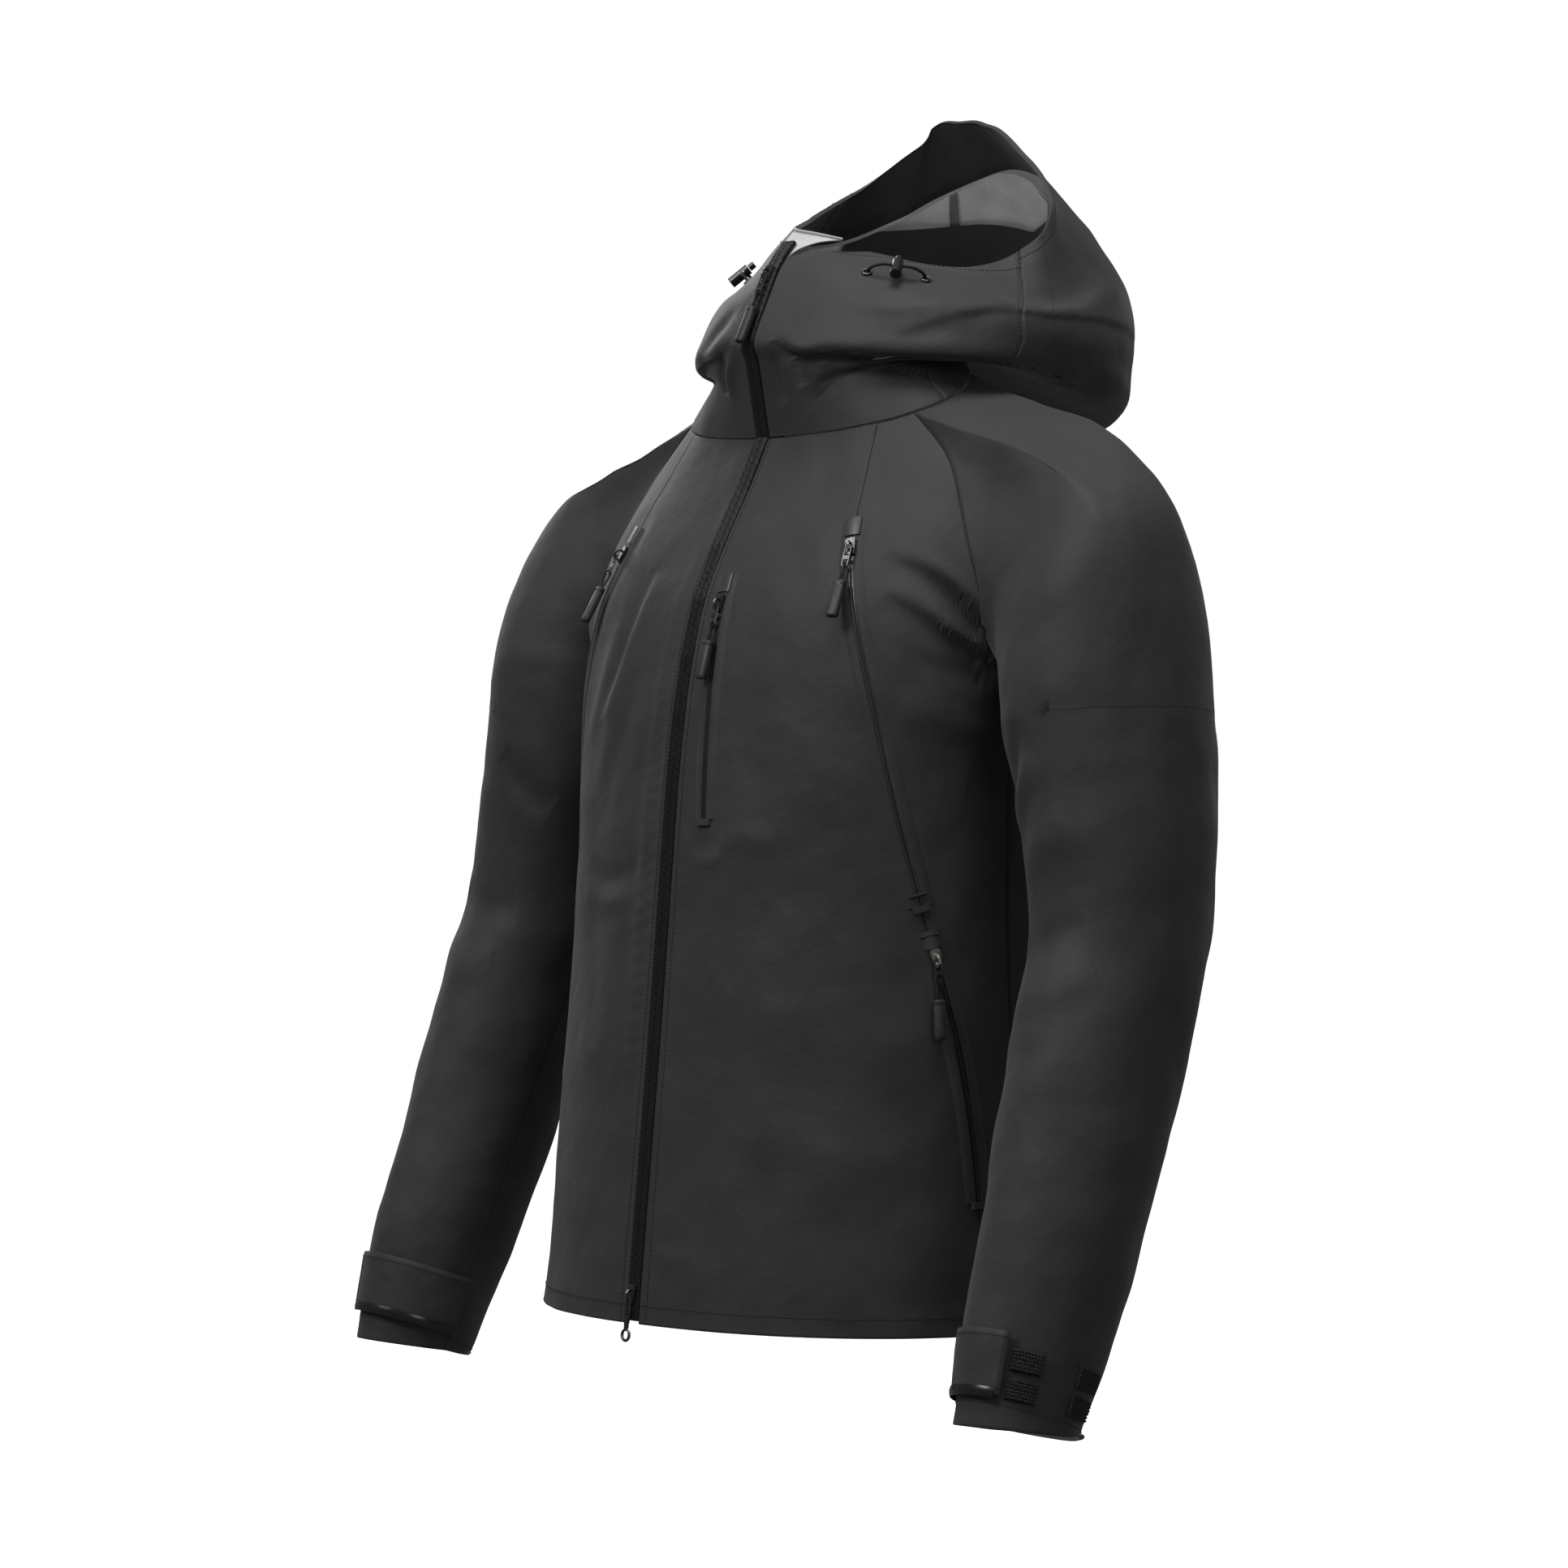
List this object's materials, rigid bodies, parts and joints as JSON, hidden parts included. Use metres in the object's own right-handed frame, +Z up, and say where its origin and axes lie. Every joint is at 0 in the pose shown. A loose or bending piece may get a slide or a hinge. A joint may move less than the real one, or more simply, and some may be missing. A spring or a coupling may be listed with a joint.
{
  "type": "hooded shell jacket",
  "caption": "Hooded waterproof shell jacket, zipped up in its worn shape, with running zip sliders, hinged pulls, peeling cuff tabs and hood cord locks.",
  "frame": {"origin": "underside of the hanger loop at the inside back of the neck, where a peg bears", "axes": "+Z up along the worn jacket, -Y out of its front, +X toward the wearer's left"},
  "size_m": [0.7186, 0.4126, 0.8649],
  "materials": {
    "front_panel_left": "matte three-layer weave",
    "front_panel_right": "matte three-layer weave",
    "side_panel_left": "matte three-layer weave",
    "side_panel_right": "matte three-layer weave",
    "back_panel": "matte three-layer weave",
    "sleeve_outer_left": "matte three-layer weave",
    "sleeve_under_left": "matte three-layer weave",
    "sleeve_outer_right": "matte three-layer weave",
    "sleeve_under_right": "matte three-layer weave",
    "hood_cheek_left": "matte three-layer weave",
    "hood_cheek_right": "matte three-layer weave",
    "hood_centre": "matte three-layer weave",
    "hood_brim": "matte three-layer weave",
    "hood_lining": "smooth knit",
    "chin_guard": "smooth knit",
    "main_zip_left": "laminated tape",
    "main_zip_right": "laminated tape",
    "storm_flap": "matte three-layer weave",
    "hanger_loop": "braided",
    "chest_zip": "laminated tape",
    "upper_zip_left": "laminated tape",
    "lower_zip_left": "laminated tape",
    "upper_left_slider": "dark nickel",
    "upper_left_pull": "dark nickel",
    "upper_left_grip": "satin",
    "lower_left_slider": "dark nickel",
    "lower_left_pull": "dark nickel",
    "lower_left_grip": "satin",
    "upper_bag_left": "smooth knit",
    "lower_bag_left": "smooth knit",
    "upper_zip_right": "laminated tape",
    "lower_zip_right": "laminated tape",
    "upper_right_slider": "dark nickel",
    "upper_right_pull": "dark nickel",
    "upper_right_grip": "satin",
    "lower_right_slider": "dark nickel",
    "lower_right_pull": "dark nickel",
    "lower_right_grip": "satin",
    "upper_bag_right": "smooth knit",
    "lower_bag_right": "smooth knit",
    "chest_bag": "smooth knit",
    "chest_slider": "dark nickel",
    "chest_pull": "dark nickel",
    "chest_grip": "satin",
    "main_top_slider": "dark nickel",
    "main_top_pull": "dark nickel",
    "main_top_grip": "satin",
    "main_bottom_slider": "dark nickel",
    "main_bottom_pull": "dark nickel",
    "cuff_tab_left": "laminated",
    "cuff_tab_right": "laminated",
    "cheek_cord_left": "braided",
    "cord_lock_left": "moulded",
    "cord_button_left": "moulded",
    "cheek_cord_right": "braided",
    "cord_lock_right": "moulded",
    "cord_button_right": "moulded"
  },
  "bodies": {
    "shell": {"front_panel_left": "front_panel_left", "front_panel_right": "front_panel_right", "side_panel_left": "side_panel_left", "side_panel_right": "side_panel_right", "back_panel": "back_panel", "sleeve_outer_left": "sleeve_outer_left", "sleeve_under_left": "sleeve_under_left", "sleeve_outer_right": "sleeve_outer_right", "sleeve_under_right": "sleeve_under_right", "hood_cheek_left": "hood_cheek_left", "hood_cheek_right": "hood_cheek_right", "hood_centre": "hood_centre", "hood_brim": "hood_brim", "hood_lining": "hood_lining", "chin_guard": "chin_guard", "main_zip_left": "main_zip_left", "main_zip_right": "main_zip_right", "storm_flap": "storm_flap", "hanger_loop": "hanger_loop", "chest_zip": "chest_zip", "upper_zip_left": "upper_zip_left", "lower_zip_left": "lower_zip_left", "upper_bag_left": "upper_bag_left", "lower_bag_left": "lower_bag_left", "upper_zip_right": "upper_zip_right", "lower_zip_right": "lower_zip_right", "upper_bag_right": "upper_bag_right", "lower_bag_right": "lower_bag_right", "chest_bag": "chest_bag", "cheek_cord_left": "cheek_cord_left", "cheek_cord_right": "cheek_cord_right"},
    "chest_slider": {"chest_slider": "chest_slider"},
    "chest_pull": {"chest_pull": "chest_pull"},
    "chest_grip": {"chest_grip": "chest_grip"},
    "upper_left_slider": {"upper_left_slider": "upper_left_slider"},
    "upper_left_pull": {"upper_left_pull": "upper_left_pull"},
    "upper_left_grip": {"upper_left_grip": "upper_left_grip"},
    "upper_right_slider": {"upper_right_slider": "upper_right_slider"},
    "upper_right_pull": {"upper_right_pull": "upper_right_pull"},
    "upper_right_grip": {"upper_right_grip": "upper_right_grip"},
    "lower_left_slider": {"lower_left_slider": "lower_left_slider"},
    "lower_left_pull": {"lower_left_pull": "lower_left_pull"},
    "lower_left_grip": {"lower_left_grip": "lower_left_grip"},
    "lower_right_slider": {"lower_right_slider": "lower_right_slider"},
    "lower_right_pull": {"lower_right_pull": "lower_right_pull"},
    "lower_right_grip": {"lower_right_grip": "lower_right_grip"},
    "main_top_slider": {"main_top_slider": "main_top_slider"},
    "main_top_pull": {"main_top_pull": "main_top_pull"},
    "main_top_grip": {"main_top_grip": "main_top_grip"},
    "main_bottom_slider": {"main_bottom_slider": "main_bottom_slider"},
    "main_bottom_pull": {"main_bottom_pull": "main_bottom_pull"},
    "cuff_tab_left": {"cuff_tab_left": "cuff_tab_left"},
    "cuff_tab_right": {"cuff_tab_right": "cuff_tab_right"},
    "cord_lock_left": {"cord_lock_left": "cord_lock_left"},
    "cord_button_left": {"cord_button_left": "cord_button_left"},
    "cord_lock_right": {"cord_lock_right": "cord_lock_right"},
    "cord_button_right": {"cord_button_right": "cord_button_right"}
  },
  "joints": [
    {"name": "chest_zip_travel", "type": "hinge", "parent": "shell", "child": "chest_slider", "pos_m": [-0.00813, 0.46642, -0.37022], "axis": [0.9959, 0.0674, 0.0596], "range_deg": [0, 11.84]},
    {"name": "chest_pull_lift", "type": "hinge", "parent": "chest_slider", "child": "chest_pull", "pos_m": [0.02447, -0.17561, -0.18841], "axis": [-0.9987, -0.0506, 0], "range_deg": [0, 110]},
    {"name": "chest_grip_lift", "type": "hinge", "parent": "chest_pull", "child": "chest_grip", "pos_m": [0.02467, -0.17971, -0.20284], "axis": [-0.9987, -0.0506, 0], "range_deg": [0, 60]},
    {"name": "upper_left_zip_travel", "type": "hinge", "parent": "shell", "child": "upper_left_slider", "pos_m": [0.0561, 0.02712, -0.24403], "axis": [0.8657, 0.4503, 0.2187], "range_deg": [0, 24.31]},
    {"name": "upper_left_pull_lift", "type": "hinge", "parent": "upper_left_slider", "child": "upper_left_pull", "pos_m": [0.12156, -0.14337, -0.1521], "axis": [-0.9341, -0.3569, 0], "range_deg": [0, 110]},
    {"name": "upper_left_grip_lift", "type": "hinge", "parent": "upper_left_pull", "child": "upper_left_grip", "pos_m": [0.12399, -0.14974, -0.16546], "axis": [-0.9341, -0.3569, 0], "range_deg": [0, 60]},
    {"name": "upper_right_zip_travel", "type": "hinge", "parent": "shell", "child": "upper_right_slider", "pos_m": [-0.0561, 0.02712, -0.24403], "axis": [0.8657, -0.4503, -0.2187], "range_deg": [0, 24.31]},
    {"name": "upper_right_pull_lift", "type": "hinge", "parent": "upper_right_slider", "child": "upper_right_pull", "pos_m": [-0.12156, -0.14337, -0.1521], "axis": [-0.9341, 0.3569, 0], "range_deg": [0, 110]},
    {"name": "upper_right_grip_lift", "type": "hinge", "parent": "upper_right_pull", "child": "upper_right_grip", "pos_m": [-0.12399, -0.14974, -0.16546], "axis": [-0.9341, 0.3569, 0], "range_deg": [0, 60]},
    {"name": "lower_left_zip_travel", "type": "hinge", "parent": "shell", "child": "lower_left_slider", "pos_m": [-1.74567, 0.57877, -0.58512], "axis": [0.3164, 0.9229, 0.2194], "range_deg": [0, 2.36]},
    {"name": "lower_left_pull_lift", "type": "hinge", "parent": "lower_left_slider", "child": "lower_left_pull", "pos_m": [0.18587, -0.1226, -0.42045], "axis": [-0.3414, -0.9399, 0], "range_deg": [0, 110]},
    {"name": "lower_left_grip_lift", "type": "hinge", "parent": "lower_left_pull", "child": "lower_left_grip", "pos_m": [0.187, -0.12301, -0.4354], "axis": [-0.3414, -0.9399, 0], "range_deg": [0, 60]},
    {"name": "lower_right_zip_travel", "type": "hinge", "parent": "shell", "child": "lower_right_slider", "pos_m": [1.74567, 0.57877, -0.58512], "axis": [0.3164, -0.9229, -0.2194], "range_deg": [0, 2.36]},
    {"name": "lower_right_pull_lift", "type": "hinge", "parent": "lower_right_slider", "child": "lower_right_pull", "pos_m": [-0.18587, -0.1226, -0.42045], "axis": [-0.3414, 0.9399, 0], "range_deg": [0, 110]},
    {"name": "lower_right_grip_lift", "type": "hinge", "parent": "lower_right_pull", "child": "lower_right_grip", "pos_m": [-0.187, -0.12301, -0.4354], "axis": [-0.3414, 0.9399, 0], "range_deg": [0, 60]},
    {"name": "main_top_zip_travel", "type": "slide", "parent": "shell", "child": "main_top_slider", "axis": [0, -0.4182, -0.9083], "range_m": [0, 0.0359]},
    {"name": "main_top_pull_lift", "type": "hinge", "parent": "main_top_slider", "child": "main_top_pull", "pos_m": [0, -0.11367, 0.03449], "axis": [-1, 0, 0], "range_deg": [0, 110]},
    {"name": "main_top_grip_lift", "type": "hinge", "parent": "main_top_pull", "child": "main_top_grip", "pos_m": [0, -0.11994, 0.02086], "axis": [-1, 0, 0], "range_deg": [0, 60]},
    {"name": "main_bottom_zip_travel", "type": "slide", "parent": "shell", "child": "main_bottom_slider", "axis": [0, 0.0961, 0.9954], "range_m": [0, 0.2758]},
    {"name": "main_bottom_pull_lift", "type": "hinge", "parent": "main_bottom_slider", "child": "main_bottom_pull", "pos_m": [0, -0.23054, -0.64496], "axis": [-1, 0, 0], "range_deg": [0, 110]},
    {"name": "cuff_tab_peel_left", "type": "hinge", "parent": "shell", "child": "cuff_tab_left", "pos_m": [0.27317, -0.1614, -0.67907], "axis": [0.1652, -0.3193, -0.9332], "range_deg": [0, 60]},
    {"name": "cuff_tab_peel_right", "type": "hinge", "parent": "shell", "child": "cuff_tab_right", "pos_m": [-0.27317, -0.1614, -0.67907], "axis": [0.1652, 0.3193, 0.9332], "range_deg": [0, 60]},
    {"name": "cord_lock_run_left", "type": "slide", "parent": "shell", "child": "cord_lock_left", "axis": [0.6988, 0.704, -0.1268], "range_m": [-0.005, 0.005]},
    {"name": "cord_button_press_left", "type": "slide", "parent": "cord_lock_left", "child": "cord_button_left", "axis": [0.5231, -0.6238, -0.5807], "range_m": [0, 0.002], "stiffness_N_per_m": 200},
    {"name": "cord_lock_run_right", "type": "slide", "parent": "shell", "child": "cord_lock_right", "axis": [-0.7043, 0.7062, 0.0723], "range_m": [-0.005, 0.005]},
    {"name": "cord_button_press_right", "type": "slide", "parent": "cord_lock_right", "child": "cord_button_right", "axis": [-0.5834, -0.5179, -0.6256], "range_m": [0, 0.002], "stiffness_N_per_m": 200}
  ]
}
